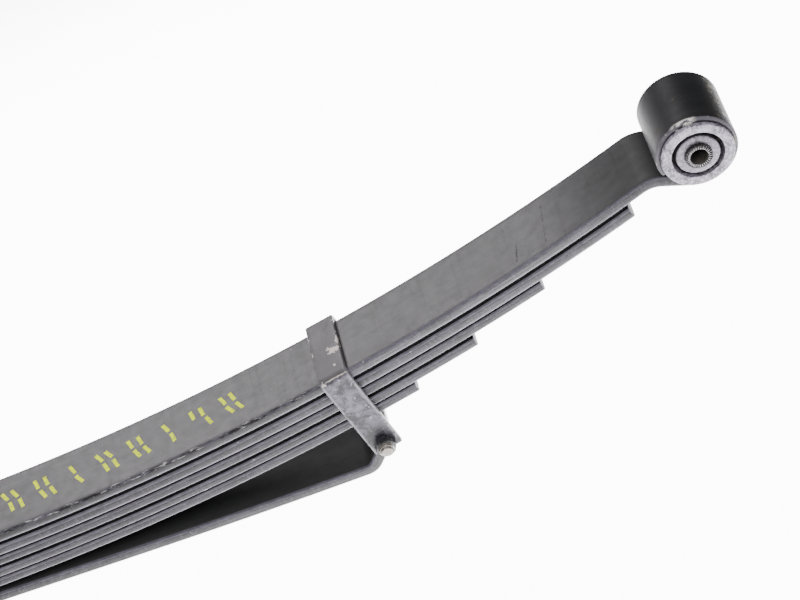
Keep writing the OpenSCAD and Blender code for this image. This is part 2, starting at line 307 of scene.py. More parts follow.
# ------------------------------------------------------------- materials
class M:
    def __init__(self, name):
        self.m = bpy.data.materials.new(name)
        self.m.use_nodes = True
        self.t = self.m.node_tree
        self.b = self.t.nodes["Principled BSDF"]

    def n(self, kind, **kw):
        nd = self.t.nodes.new(kind)
        for k, v in kw.items():
            if hasattr(nd, k):
                setattr(nd, k, v)
        return nd

    def put(self, sock, val):
        if isinstance(val, bpy.types.NodeSocket):
            self.t.links.new(val, sock)
        else:
            sock.default_value = val

    def attr(self, name, vec=False):
        nd = self.n("ShaderNodeAttribute", attribute_type="GEOMETRY", attribute_name=name)
        return nd.outputs["Vector" if vec else "Fac"]

    def obj(self):
        return self.n("ShaderNodeTexCoord").outputs["Object"]

    def scale(self, v, s):
        nd = self.n("ShaderNodeMapping")
        self.put(nd.inputs["Vector"], v)
        nd.inputs["Scale"].default_value = s
        return nd.outputs[0]

    def move(self, v, loc=(0, 0, 0), rot=(0, 0, 0), s=(1, 1, 1)):
        nd = self.n("ShaderNodeMapping")
        self.put(nd.inputs["Vector"], v)
        nd.inputs["Location"].default_value = loc
        nd.inputs["Rotation"].default_value = rot
        nd.inputs["Scale"].default_value = s
        return nd.outputs[0]

    def noise(self, v, scale, detail=4.0, rough=0.55, dist=0.0):
        nd = self.n("ShaderNodeTexNoise")
        self.put(nd.inputs["Vector"], v)
        nd.inputs["Scale"].default_value = scale
        nd.inputs["Detail"].default_value = detail
        nd.inputs["Roughness"].default_value = rough
        nd.inputs["Distortion"].default_value = dist
        return nd.outputs["Fac"]

    def voro(self, v, scale, feature="F1", rnd=1.0):
        nd = self.n("ShaderNodeTexVoronoi", feature=feature)
        self.put(nd.inputs["Vector"], v)
        nd.inputs["Scale"].default_value = scale
        nd.inputs["Randomness"].default_value = rnd
        return nd.outputs["Distance"]

    def ramp(self, fac, a, b, lo=0.0, hi=1.0):
        nd = self.n("ShaderNodeMapRange")
        nd.clamp = True
        nd.interpolation_type = "SMOOTHSTEP"
        self.put(nd.inputs["Value"], fac)
        nd.inputs["From Min"].default_value = a
        nd.inputs["From Max"].default_value = b
        nd.inputs["To Min"].default_value = lo
        nd.inputs["To Max"].default_value = hi
        return nd.outputs["Result"]

    def math(self, op, a, b=0.0, c=0.0):
        nd = self.n("ShaderNodeMath", operation=op)
        self.put(nd.inputs[0], a)
        self.put(nd.inputs[1], b)
        self.put(nd.inputs[2], c)
        return nd.outputs[0]

    def mix(self, fac, a, b):
        nd = self.n("ShaderNodeMix", data_type="RGBA")
        self.put(nd.inputs[0], fac)
        self.put(nd.inputs[6], a if isinstance(a, bpy.types.NodeSocket) else (*a, 1.0))
        self.put(nd.inputs[7], b if isinstance(b, bpy.types.NodeSocket) else (*b, 1.0))
        return nd.outputs[2]

    def sep(self, v):
        nd = self.n("ShaderNodeSeparateXYZ")
        self.put(nd.inputs[0], v)
        return nd.outputs

    def bump(self, h, strength, dist=0.001, normal=None):
        nd = self.n("ShaderNodeBump")
        nd.inputs["Strength"].default_value = strength
        nd.inputs["Distance"].default_value = dist
        self.put(nd.inputs["Height"], h)
        if normal is not None:
            self.put(nd.inputs["Normal"], normal)
        return nd.outputs[0]

    def out(self, color=None, rough=None, metal=None, normal=None, **kw):
        if color is not None:
            self.put(self.b.inputs["Base Color"], color if isinstance(color, bpy.types.NodeSocket) else (*color, 1.0))
        if rough is not None:
            self.put(self.b.inputs["Roughness"], rough)
        if metal is not None:
            self.put(self.b.inputs["Metallic"], metal)
        if normal is not None:
            self.put(self.b.inputs["Normal"], normal)
        for k, v in kw.items():
            self.b.inputs[k].default_value = v
        return self.m


def box_mask(M_, v, cxy, half, rot=0.0, soft=0.0006, warp=None, amt=0.0):
    """1 inside a turned rectangle in the (x, y) of vector v."""
    q = M_.move(v, loc=(0, 0, 0))
    nd = M_.n("ShaderNodeMapping", vector_type="TEXTURE")
    M_.put(nd.inputs["Vector"], v)
    nd.inputs["Location"].default_value = (cxy[0], cxy[1], 0)
    nd.inputs["Rotation"].default_value = (0, 0, rot)
    s = M_.sep(nd.outputs[0])
    ax, ay = M_.math("ABSOLUTE", s[0]), M_.math("ABSOLUTE", s[1])
    dx, dy = M_.math("SUBTRACT", ax, half[0]), M_.math("SUBTRACT", ay, half[1])
    d = M_.math("MAXIMUM", dx, dy)
    if warp is not None:
        d = M_.math("ADD", d, M_.math("MULTIPLY", M_.math("SUBTRACT", warp, 0.5), amt))
    return M_.ramp(d, soft, -soft)


def leaf_paint(name, top, topdark, side, edge_wear_highlight_col, rough, wear, marks=False, seed=0.0, grime=0.5, eye_end_shade=0.0, spec=0.25):
    m = M(name)
    pc = m.attr("pc", True)
    pc = m.move(pc, loc=(seed, seed * 0.37, 0))
    raw = m.attr("pc", True)
    edge, sd = m.attr("edge"), m.attr("side")
    blotch = m.noise(m.scale(pc, (5, 16, 16)), 1.6, 6, 0.6, 0.4)
    mott = m.noise(m.scale(pc, (30, 46, 46)), 3.0, 5, 0.65)
    grain = m.noise(pc, 900, 3, 0.6)
    fine = m.noise(pc, 330, 4, 0.7)
    streak = m.noise(m.scale(pc, (3, 420, 420)), 1.0, 3, 0.6)
    cross = m.noise(m.scale(pc, (260, 5, 5)), 1.0, 2, 0.5)
    c = m.mix(m.ramp(blotch, 0.36, 0.66), topdark, top)
    c = m.mix(m.ramp(mott, 0.42, 0.7, 0.0, 0.55), c, topdark)
    c = m.mix(m.ramp(streak, 0.5, 0.74, 0.0, 0.28), c, tuple(min(1, v * 1.5) for v in top))
    # side of the rolled bar: paler, cloudy, with fine upright scuffs
    cs = m.mix(m.ramp(m.noise(m.scale(pc, (14, 30, 30)), 2.6, 6, 0.66), 0.36, 0.64), tuple(v * 0.32 for v in side), side)
    scuff = m.noise(m.scale(pc, (620, 90, 150)), 1.0, 4, 0.7)
    cs = m.mix(m.ramp(scuff, 0.50, 0.72, 0.0, 0.75), cs, tuple(min(1, v * 2.7) for v in side))
    lines = m.noise(m.scale(pc, (16, 10, 900)), 1.0, 4, 0.6)
    cs = m.mix(m.ramp(lines, 0.52, 0.68, 0.0, 0.75), cs, tuple(v * 0.22 for v in side))
    cs = m.mix(m.ramp(m.noise(m.move(m.scale(pc, (20, 10, 1100)), loc=(4, 4, 4)), 1.0, 3, 0.6), 0.56, 0.70, 0.0, 0.7), cs, tuple(min(1, v * 2.4) for v in side))
    cs = m.mix(m.ramp(m.noise(m.scale(pc, (60, 500, 700)), 1.3, 5, 0.7), 0.52, 0.70, 0.0, grime * 0.8), cs, tuple(v * 0.16 for v in side))
    far = m.ramp(m.math("ABSOLUTE", m.sep(raw)[0]), 0.44, 0.36, 0.0, 0.30)
    cs = m.mix(far, cs, (0.010, 0.0095, 0.012))
    # painted reflection of the floor: the side of every leaf but the overload leaf grows lighter towards its bottom
    # edge
    low = m.ramp(m.sep(raw)[2], 0.0060, 0.0086)
    if name.startswith("overload"):
        # this one's side darkens towards the bottom, and its bright line of rubbed paint and painted highlight stays on
        # the upper corner
        cs = m.mix(m.math("MULTIPLY", m.ramp(m.sep(raw)[2], 0.0045, 0.0085), 0.85), cs, (0.008, 0.0078, 0.009))
    else:
        cs = m.mix(m.math("MULTIPLY", low, 0.55), cs, tuple(min(1, v * 2.6) for v in side))
    gap_shade = None
    # painted shade: on the second to fifth leaves the flat top and bottom faces, which lie in the gaps between leaves,
    # are made near black
    if name.startswith("leaf_paint"):
        gap_shade = m.ramp(sd, 0.45, 0.12)
        c = m.mix(m.math("MULTIPLY", gap_shade, 0.9), c, (0.004, 0.004, 0.0042))
    c = m.mix(m.ramp(sd, 0.25, 0.8), c, cs)
    # wear on the rounded edges, and a painted highlight: the paler edge colour tints every rounded corner at least half
    # way, worn or not
    wn = m.noise(m.scale(pc, (80, 420, 420)), 1.5, 6, 0.72)
    wear_and_highlight = m.math("MULTIPLY", m.ramp(edge, 0.08, 0.55), m.ramp(wn, 0.56 - wear, 0.74 - wear, 0.62, 1.0))
    if name.startswith("overload"):
        wear_and_highlight = m.math("MULTIPLY", wear_and_highlight, m.ramp(m.sep(raw)[2], 0.0080, 0.0062, 0.15, 1.0))
    c = m.mix(m.math("MULTIPLY", wear_and_highlight, 0.85), c, edge_wear_highlight_col)
    nick = m.math("MULTIPLY", m.ramp(m.noise(m.scale(pc, (150, 210, 210)), 1.0, 3, 0.6), 0.7, 0.76), m.ramp(edge, 0.2, 0.8))
    c = m.mix(nick, c, (0.62, 0.6, 0.64))
    # sparse pale specks and thin scratches on the flats
    sp = m.ramp(m.voro(m.scale(pc, (1, 1, 1)), 70), 0.05, 0.025)
    spn = m.math("MULTIPLY", sp, m.ramp(m.noise(pc, 21, 2), 0.58, 0.64))
    c = m.mix(m.math("MULTIPLY", spn, 0.55), c, (0.6, 0.58, 0.55))
    sv = m.move(pc, rot=(0, 0, 0.9), s=(9, 1500, 1))
    scr = m.math("MULTIPLY", m.ramp(m.noise(sv, 1.0, 1, 0.4), 0.735, 0.75), m.ramp(m.noise(m.scale(pc, (11, 30, 30)), 1.0, 2), 0.56, 0.62))
    c = m.mix(m.math("MULTIPLY", scr, 0.35), c, (0.05, 0.05, 0.052))
    rg = m.ramp(mott, 0.3, 0.75, rough - 0.02, rough + 0.05)
    rg = m.math("ADD", rg, m.ramp(cross, 0.5, 0.75, 0.0, 0.05))
    rg = m.math("ADD", rg, m.math("MULTIPLY", wear_and_highlight, 0.08))
    if gap_shade is not None:
        rg = m.math("ADD", rg, m.math("MULTIPLY", gap_shade, 0.5))
    # painted shade: the top darkens towards the eye, where its sheen dies away; roughness rises there too
    if eye_end_shade:
        s = m.math("ABSOLUTE", m.sep(raw)[0])
        k = m.ramp(m.math("ADD", s, m.math("MULTIPLY", m.math("SUBTRACT", blotch, 0.5), 0.05)), 0.60, 0.72)
        rg = m.math("ADD", rg, m.math("MULTIPLY", k, 0.27))
        c = m.mix(m.math("MULTIPLY", k, m.math("SUBTRACT", eye_end_shade, m.math("MULTIPLY", m.ramp(sd, 0.2, 0.7), eye_end_shade * 0.8))), c, (0.012, 0.012, 0.0125))
    if name == "eye_shaded_paint":
        # painted light: the outer face of the eye is lighter on the side towards the middle of the spring
        ax = m.math("ABSOLUTE", m.sep(m.obj())[0])
        c = m.mix(m.math("MULTIPLY", m.ramp(ax, 0.731, 0.710, 0.0, 0.85), m.ramp(m.sep(raw)[2], T1 * 0.6 / 1000, T1 * 0.8 / 1000)), c, (0.085, 0.085, 0.088))
        sx, dz = m.math("ABSOLUTE", m.sep(raw)[0]), m.sep(raw)[2]
        s0 = half[-111][3] / 1000
        per = math.pi / 180 * (EYE_IN + T1 / 2) / 1000
        u = m.math("SUBTRACT", sx, s0)
        outer = m.ramp(dz, T1 * 0.6 / 1000, T1 * 0.8 / 1000)
        zone = m.math("MULTIPLY", m.ramp(u, per * 88, per * 112), m.ramp(u, per * 160, per * 140))
        pn = m.noise(m.scale(pc, (70, 45, 45)), 2.0, 6, 0.72)
        k = m.math("MULTIPLY", m.math("MULTIPLY", zone, outer), m.ramp(pn, 0.50, 0.60))
        c = m.mix(m.math("MULTIPLY", k, 0.85), c, (0.27, 0.245, 0.185))
        rim = m.math("MULTIPLY", m.ramp(edge, 0.15, 0.6), m.ramp(m.noise(m.scale(pc, (110, 140, 140)), 1.0, 6, 0.72), 0.34, 0.54))
        c = m.mix(m.math("MULTIPLY", rim, 0.9), c, (0.13, 0.123, 0.14))
        bright_chips_and_glint = m.math("MULTIPLY", m.ramp(edge, 0.2, 0.6), m.ramp(m.noise(m.scale(pc, (160, 230, 230)), 1.0, 5, 0.72), 0.60, 0.66))
        c = m.mix(bright_chips_and_glint, c, (0.62, 0.60, 0.56))
        # bright bare chips and a painted highlight on the crown of the eye's front rim
        crown_z = m.math("MULTIPLY", m.ramp(u, per * 188, per * 200), m.ramp(u, per * 232, per * 218))
        front = m.ramp(m.sep(raw)[1], -0.0275, -0.0300)
        bright_chips_and_glint = m.math("MULTIPLY", m.math("MULTIPLY", crown_z, front), m.ramp(m.noise(m.scale(pc, (120, 300, 300)), 1.0, 5, 0.7), 0.44, 0.52))
        c = m.mix(bright_chips_and_glint, c, (0.80, 0.78, 0.72))
        rust = m.math("MULTIPLY", outer, m.ramp(m.noise(m.scale(pc, (40, 40, 40)), 1.7, 4, 0.6), 0.66, 0.72))
        c = m.mix(m.math("MULTIPLY", rust, 0.6), c, (0.06, 0.04, 0.028))
    if marks:
        sx, dz = m.sep(raw)[0], m.sep(raw)[2]
        band = m.math("MULTIPLY", m.ramp(sx, 0.435, 0.40), m.math("MULTIPLY", m.ramp(sd, 0.15, 0.6), m.ramp(dz, 0.0075, 0.0045)))
        bn = m.noise(m.scale(pc, (60, 260, 260)), 1.0, 5, 0.7)
        c = m.mix(m.math("MULTIPLY", band, m.ramp(bn, 0.42, 0.58, 0.25, 0.95)), c, (0.008, 0.008, 0.009))
        # a painted highlight along the upper corners towards the middle, broken up like bright scratches
        bs_ = m.noise(m.scale(pc, (90, 520, 520)), 1.0, 5, 0.74)
        lip = m.math("MULTIPLY", m.ramp(sx, 0.44, 0.40), m.math("MULTIPLY", m.ramp(dz, 0.0042, 0.0024), m.ramp(edge, 0.05, 0.3)))
        c = m.mix(m.math("MULTIPLY", lip, m.ramp(bs_, 0.55, 0.64)), c, (0.42, 0.40, 0.40))
        # two thin dark rubs across the leaf between the clip and the eye
        brk = m.ramp(m.noise(m.scale(pc, (40, 160, 40)), 1.0, 3, 0.6), 0.40, 0.58)
        for (u, y, hy, ro, dark) in ((0.596, -0.0145, 0.0095, -0.21, 0.62), (0.625, -0.002, 0.022, -0.135, 0.40)):
            k = box_mask(m, raw, (u, y), (0.00025, hy), ro, 0.0005)
            k = m.math("MULTIPLY", m.math("MULTIPLY", k, brk), dark)
            c = m.mix(k, c, (0.004, 0.004, 0.004))
            rg = m.math("ADD", rg, m.math("MULTIPLY", k, 0.9))
        rg = m.math("ADD", rg, m.ramp(sx, 0.28, 0.06, 0.0, 0.045))
        wv = m.noise(pc, 260, 3, 0.6)
        total = None
        for (u, y, hu, hy, ro) in marks:
            k = box_mask(m, raw, (u, y), (hu, hy), ro, 0.0004, wv, 0.0018)
            total = k if total is None else m.math("MAXIMUM", total, k)
        total = m.math("MULTIPLY", total, m.ramp(m.sep(raw)[2], 0.001, 0.0004))
        thin = m.ramp(m.noise(m.scale(pc, (60, 60, 60)), 2.0, 4, 0.6), 0.3, 0.62, 0.8, 1.0)
        dots = m.ramp(m.noise(pc, 520, 2, 0.5), 0.3, 0.42)
        k = m.math("MULTIPLY", m.math("MULTIPLY", total, thin), dots)
        c = m.mix(k, c, (0.86, 1.0, 0.0))
        rg = m.math("ADD", rg, m.math("MULTIPLY", k, 0.68))
    h = m.math("ADD", m.math("MULTIPLY", grain, 0.35), m.math("MULTIPLY", fine, 0.65))
    h = m.math("SUBTRACT", h, m.math("MULTIPLY", wear_and_highlight, 0.5))
    nr = m.bump(h, 0.09, 0.0005)
    return m.out(c, rg, None, nr, **{"Specular IOR Level": spec})


def generic_paint(name, base, dark, light, rough, metal=0.0, sc=1.0, chips=(), chipcol=(0.55, 0.50, 0.46), spec=0.3, bumps=0.12, blot=0.5, edge=None, turn=0.0, leg=None):
    m = M(name)
    o = m.obj()
    big = m.noise(o, 28 * sc, 6, 0.62, 0.5)
    mid = m.noise(o, 120 * sc, 5, 0.65)
    fine = m.noise(o, 800 * sc, 3, 0.6)
    c = m.mix(m.ramp(big, 0.34, 0.68), dark, base)
    c = m.mix(m.ramp(mid, 0.45, 0.72, 0.0, blot), c, light)
    c = m.mix(m.ramp(m.noise(m.move(o, loc=(3, 1, 2)), 60 * sc, 4, 0.7), 0.58, 0.72, 0.0, 0.5), c, tuple(v * 0.45 for v in dark))
    scr = m.ramp(m.noise(m.move(o, rot=(0.4, 0.7, 0.3), s=(900, 14, 14)), 1.0, 2, 0.5), 0.70, 0.735)
    c = m.mix(m.math("MULTIPLY", scr, 0.45), c, light)
    h = m.math("ADD", m.math("MULTIPLY", fine, 0.5), m.math("MULTIPLY", mid, 0.5))
    rg = m.ramp(big, 0.3, 0.7, rough - 0.06, rough + 0.1)
    # paler edges: wear with a painted highlight, fullest along the near leg
    if edge is not None:
        ed = m.ramp(m.attr("edge"), 0.55, 0.98)
        wn = m.noise(m.scale(o, (1, 1, 1)), 95, 5, 0.7)
        low = m.ramp(m.sep(o)[1], -0.0345, -0.0365) if leg is not None else 1.0
        k = m.math("MULTIPLY", m.math("MULTIPLY", ed, m.ramp(wn, 0.36, 0.56)), m.math("ADD", 0.25, m.math("MULTIPLY", low, 0.75)))
        sp = m.math("MULTIPLY", m.ramp(ed, 0.1, 0.5), m.ramp(m.noise(m.move(o, loc=(5, 0, 0)), 420, 2, 0.5), 0.66, 0.70))
        c = m.mix(sp, c, (0.62, 0.58, 0.56))
    edge_wear_highlight_k = k if edge is not None else None
    if leg is not None:
        # the leg has lost its gloss: cloudy, metallic-looking, darker round the nut
        (lx, ly, lz), (nx_, ny_, nz_) = leg
        side = m.ramp(m.sep(o)[1], ly + 0.003, ly - 0.0005)
        cl = m.noise(m.move(o, loc=(1, 2, 3)), 84, 7, 0.72, 0.9)
        cc = m.mix(m.ramp(cl, 0.40, 0.62), (0.010, 0.010, 0.015), (0.128, 0.120, 0.152))
        cc = m.mix(m.ramp(m.noise(m.move(o, loc=(7, 1, 0)), 210, 4, 0.7), 0.58, 0.68, 0.0, 0.8), cc, (0.34, 0.325, 0.375))
        nd = m.n("ShaderNodeVectorMath", operation="LENGTH")
        m.put(nd.inputs[0], m.move(o, loc=(-nx_, -ny_, -nz_ - 0.007)))
        st = m.ramp(m.math("ADD", nd.outputs["Value"], m.math("MULTIPLY", m.math("SUBTRACT", cl, 0.5), 0.020)), 0.032, 0.012)
        cc = m.mix(m.math("MULTIPLY", st, 0.62), cc, (0.010, 0.010, 0.011))
        c = m.mix(m.math("MULTIPLY", side, 0.92), c, cc)
    if edge_wear_highlight_k is not None:
        c = m.mix(edge_wear_highlight_k, c, edge)
    for (px, py, pz, rx, seedc) in chips:
        q0 = m.n("ShaderNodeMapping", vector_type="TEXTURE")
        m.put(q0.inputs["Vector"], o)
        q0.inputs["Location"].default_value = (px, py, pz)
        q0.inputs["Rotation"].default_value = (0, turn, 0)
        q0.inputs["Scale"].default_value = rx
        w = m.noise(m.move(o, loc=(seedc, 0, 0)), 260, 4, 0.7)
        nd = m.n("ShaderNodeVectorMath", operation="LENGTH")
        m.put(nd.inputs[0], q0.outputs[0])
        d = m.math("ADD", nd.outputs["Value"], m.math("MULTIPLY", m.math("SUBTRACT", w, 0.5), 4.2))
        k = m.ramp(d, 0.80, 0.66)
        c = m.mix(k, c, chipcol)
        h = m.math("SUBTRACT", h, m.math("MULTIPLY", k, 0.8))
    nr = m.bump(h, bumps, 0.0006)
    return m.out(c, rg, metal, nr, **{"Specular IOR Level": spec})


# ---- the finishes
half = main_half()
PAINT = (0.040, 0.0392, 0.0408)
PAINT_D = (0.030, 0.0295, 0.0310)
SIDE = (0.038, 0.0355, 0.045)
# paler edge colours: wear on the rounded corners together with a painted highlight there
EDGE_WEAR_HIGHLIGHT = (0.135, 0.127, 0.155)
EDGE2_WEAR_HIGHLIGHT = (0.20, 0.19, 0.225)
# plain paired hatch strokes, broken in the middle as a stencil's bridges break them
marks = []
for i in range(8):
    one = i in (2, 5)
    for du in ((0.0,) if one else (-0.0042, 0.0046)):
        for dv in (-0.0066, 0.0068):
            if not (i == 6 and du < 0 and dv < 0):
                turn = 0.36 + 0.30 * (((i * 7 + (dv > 0) * 3 + (du > 0) * 5) % 5) / 4 - 0.5)
                marks.append((0.128 + 0.0285 * i + du - dv * 0.36, dv, 0.0016, 0.0054, turn))
mat_main = leaf_paint("main_leaf_paint", PAINT, PAINT_D, SIDE, EDGE_WEAR_HIGHLIGHT, 0.32, 0.16, marks, 0.0, 0.6, 0.86)
# the rolled eye takes a darker, less glossy copy of the leaf paint: painted shade
mat_eye = leaf_paint("eye_shaded_paint", (0.018, 0.018, 0.019), (0.013, 0.013, 0.014), (0.026, 0.024, 0.030), (0.12, 0.113, 0.13), 0.46, 0.30, None, 0.0, 0.6, 0.0, 0.06)
mat_leaf = [leaf_paint("leaf_paint_%d" % i, tuple(v * k for v in PAINT), tuple(v * k for v in PAINT_D), tuple(v * ks for v in SIDE), EDGE2_WEAR_HIGHLIGHT, 0.46, w, None, 1.7 * i, g)
            for i, (k, ks, w, g) in enumerate([(0.9, 0.98, 0.14, 0.5), (0.85, 0.92, 0.12, 0.55), (0.85, 0.90, 0.12, 0.5), (0.85, 0.95, 0.14, 0.5)], 2)]
mat_help = leaf_paint("overload_paint", (0.026, 0.026, 0.027), (0.018, 0.018, 0.019), (0.050, 0.047, 0.056), EDGE_WEAR_HIGHLIGHT, 0.40, 0.15, None, 11.3, 0.75)
# the overload leaf's top face, shaded by the pack above it, gets a copy of its paint with little sheen: painted shade
mat_shade = leaf_paint("overload_top_paint", (0.044, 0.044, 0.045), (0.036, 0.036, 0.037), (0.030, 0.028, 0.034), EDGE_WEAR_HIGHLIGHT, 0.55, 0.12, None, 11.3, 0.5, 0.0, 0.04)
mat_liner = generic_paint("liner_plastic", (0.0040, 0.0040, 0.0044), (0.0020, 0.0020, 0.0022), (0.012, 0.012, 0.012), 0.75, spec=0.03)
mat_strap = generic_paint(
    "clip_paint", (0.108, 0.103, 0.107), (0.086, 0.081, 0.087), (0.130, 0.124, 0.136), 0.40, sc=1.0, blot=0.35, spec=0.20,
    edge=(0.19, 0.18, 0.21), turn=-rad(CLIP_A), leg=((0, -(W / 2 + CLIP_GAP + CLIP_T) / 1000, 0), tuple(BOLT / 1000 * np.array([1, 0, 1]) + np.array([0, -0.0373, 0]))),
    chips=[tuple(on_arch(CLIP_A, 6.5, -6.5, 16.0) / 1000) + ((0.0062, 0.0052, 0.004), 1.0),
           tuple(on_arch(CLIP_A, 11.8, 2.0, 15.6) / 1000) + ((0.0016, 0.0088, 0.004), 2.0),
           tuple(on_arch(CLIP_A, 4.5, -24, 16.0) / 1000) + ((0.0014, 0.0022, 0.003), 6.0),
           tuple(on_arch(CLIP_A, -12.2, -1, 15.6) / 1000) + ((0.0010, 0.0052, 0.003), 3.0),
           tuple(on_arch(CLIP_A, -10.0, -36.0, 13.5) / 1000) + ((0.0045, 0.0022, 0.0026), 4.0),
           tuple(on_arch(CLIP_A, 2.0, -35.9, 14.0) / 1000) + ((0.0155, 0.0007, 0.0009), 5.0)])
mat_shell = generic_paint("bushing_shell", (0.29, 0.268, 0.33), (0.055, 0.052, 0.068), (0.66, 0.615, 0.69), 0.40, 0.1, 4.0, blot=0.6)
mat_sleeve = generic_paint("sleeve_steel", (0.035, 0.033, 0.034), (0.018, 0.017, 0.017), (0.14, 0.13, 0.14), 0.42, 0.3, 2.0, blot=0.5)
mat_bore = generic_paint("sleeve_bore", (0.075, 0.068, 0.062), (0.045, 0.040, 0.036), (0.12, 0.11, 0.10), 0.55, 0.0, 1.3)
mat_rim = generic_paint("sleeve_end_steel", (0.10, 0.095, 0.105), (0.05, 0.048, 0.055), (0.20, 0.19, 0.21), 0.40, 0.2, 3.0, blot=0.6)
mat_tip = generic_paint("sleeve_tooth_steel", (0.52, 0.50, 0.53), (0.34, 0.32, 0.35), (0.80, 0.78, 0.80), 0.34, 0.1, 3.0, blot=0.6)
# near black between the sleeve-end teeth: dirt together with painted shade in the recesses
mat_gap = generic_paint("sleeve_gap_dirt_and_shade", (0.016, 0.014, 0.013), (0.010, 0.009, 0.009), (0.05, 0.045, 0.04), 0.6, 0.0, 3.0, spec=0.2)
mat_rubber = generic_paint("bushing_rubber", (0.020, 0.019, 0.019), (0.012, 0.012, 0.012), (0.07, 0.065, 0.06), 0.7, 0.0, 1.6, spec=0.3, blot=0.5)
mat_over = generic_paint("rubber_overspray", (0.22, 0.205, 0.25), (0.06, 0.056, 0.07), (0.50, 0.47, 0.53), 0.46, 0.05, 4.4, blot=0.6)
mat_hex = generic_paint("clip_nut_dark", (0.045, 0.045, 0.050), (0.022, 0.022, 0.025), (0.22, 0.22, 0.24), 0.34, 0.4, 3.0, blot=0.35)
mat_zinc = generic_paint("clip_bolt_zinc", (0.22, 0.20, 0.18), (0.09, 0.08, 0.07), (0.46, 0.43, 0.40), 0.34, 0.4, 4.0)
mat_tube = generic_paint("tube_steel", (0.50, 0.49, 0.52), (0.32, 0.31, 0.34), (0.70, 0.69, 0.72), 0.36, 0.7, 1.5)
mat_spacer = generic_paint("spacer_paint", (0.14, 0.14, 0.15), (0.09, 0.09, 0.095), (0.22, 0.22, 0.24), 0.48)
mat_centre = generic_paint("centre_steel", (0.12, 0.12, 0.13), (0.07, 0.07, 0.075), (0.34, 0.33, 0.36), 0.38, 0.6, 1.5)

# ---- the leaves
main_ob = sweep("main_leaf_rolled", mirrored(half)[:-1] + half, T1, W, T1 * 0.25, "leaf_pack", [mat_main, mat_eye], node="main_leaf", nc=9)
pcs = np.zeros(len(main_ob.data.vertices) * 3, np.float32)
main_ob.data.attributes["pc"].data.foreach_get("vector", pcs)
s_abs = np.abs(pcs[0::3])
cut = half[-111][3] / 1000 + 0.0005
main_ob.data.polygons.foreach_set("material_index", np.array([int(min(s_abs[i] for i in p.vertices) > cut) for p in main_ob.data.polygons], np.int32))
for i, (nm, ri, t, tip) in enumerate((("second", R2I, T1, TIP2), ("third", R3I, T3, TIP3), ("fourth", R4I, T3, TIP4), ("fifth", R5I, T3, TIP5))):
    sweep(nm + "_leaf_rolled", arch_frames(ri, -tip, tip), t, W, t * 0.25, "leaf_pack", mat_leaf[i], node=nm + "_leaf", cap=0.9)
oh = overload_frames()
help_ob = sweep("overload_leaf_rolled", mirrored(oh)[:-1] + oh, T1, W, T1 * 0.25, "leaf_pack", [mat_help, mat_shade], node="overload_leaf", cap=0.9)
# painted shade: the overload leaf's top-face polygons take the low-sheen copy of its paint
pcs = np.zeros(len(help_ob.data.vertices) * 3, np.float32)
help_ob.data.attributes["pc"].data.foreach_get("vector", pcs)
dep = pcs[2::3] * 1000
help_ob.data.polygons.foreach_set("material_index", np.array([int(max(dep[i] for i in p.vertices) < 1.4) for p in help_ob.data.polygons], np.int32))
for nm, ri, t, tip in (("liner_1_2", R1, GW, TIP2), ("liner_2_3", R2I + T1, GT, TIP3), ("liner_3_4", R3I + T3, GW, TIP4), ("liner_4_5", R4I + T3, GT, TIP5)):
    sweep(nm + "_pad", arch_frames(ri + 0.06, -tip + 0.06, tip - 0.06, 16), t - 0.12, W - 4.4, 0.3, "leaf_pack", mat_liner, crown=0.0, node=nm, cap=0.2, slot="liner_plastic", nc=4)
sweep("centre_spacer_plate", [(x, T1 + 4.44, 0.0, x) for x in np.linspace(-55, 55, 23)], 4.36, W - 2, 0.7, "leaf_pack", mat_spacer, crown=0.0, node="centre_spacer", cap=0.7, slot="spacer_paint")


# ---- round pieces and hex pieces
def turned(name, centre, prof, body, mats, seg=96, axis="Y", rot=0.0, shape=None, **kw):
    """prof(theta) or a list of (r, h); axis Y or Z through centre. kw go to make()."""
    verts, faces, fmat = [], [], []
    fm = kw.pop("fm", None)
    rows = None
    for i in range(seg):
        th = 2 * math.pi * i / seg + rot
        p = prof(th, i) if callable(prof) else prof
        rows = len(p)
        for r, h in p:
            if axis == "Y":
                verts.append((centre[0] + r * math.cos(th), centre[1] + h, centre[2] + r * math.sin(th)))
            else:
                verts.append((centre[0] + r * math.cos(th), centre[1] + r * math.sin(th), centre[2] + h))
    p = prof(rot, 0) if callable(prof) else prof
    area = sum(p[j][0] * p[(j + 1) % rows][1] - p[(j + 1) % rows][0] * p[j][1] for j in range(rows))
    flip = (area > 0) if axis == "Y" else (area < 0)
    for i in range(seg):
        k = (i + 1) % seg
        for j in range(rows):
            q = (i * rows + j, i * rows + (j + 1) % rows, k * rows + (j + 1) % rows, k * rows + j)
            faces.append(q[::-1] if not flip else q)
            fmat.append((fm(i, j) if callable(fm) else fm[j]) if fm else 0)
    if fm:
        kw["fmat"] = fmat
    return make(name, verts, faces, body, mats, **kw)


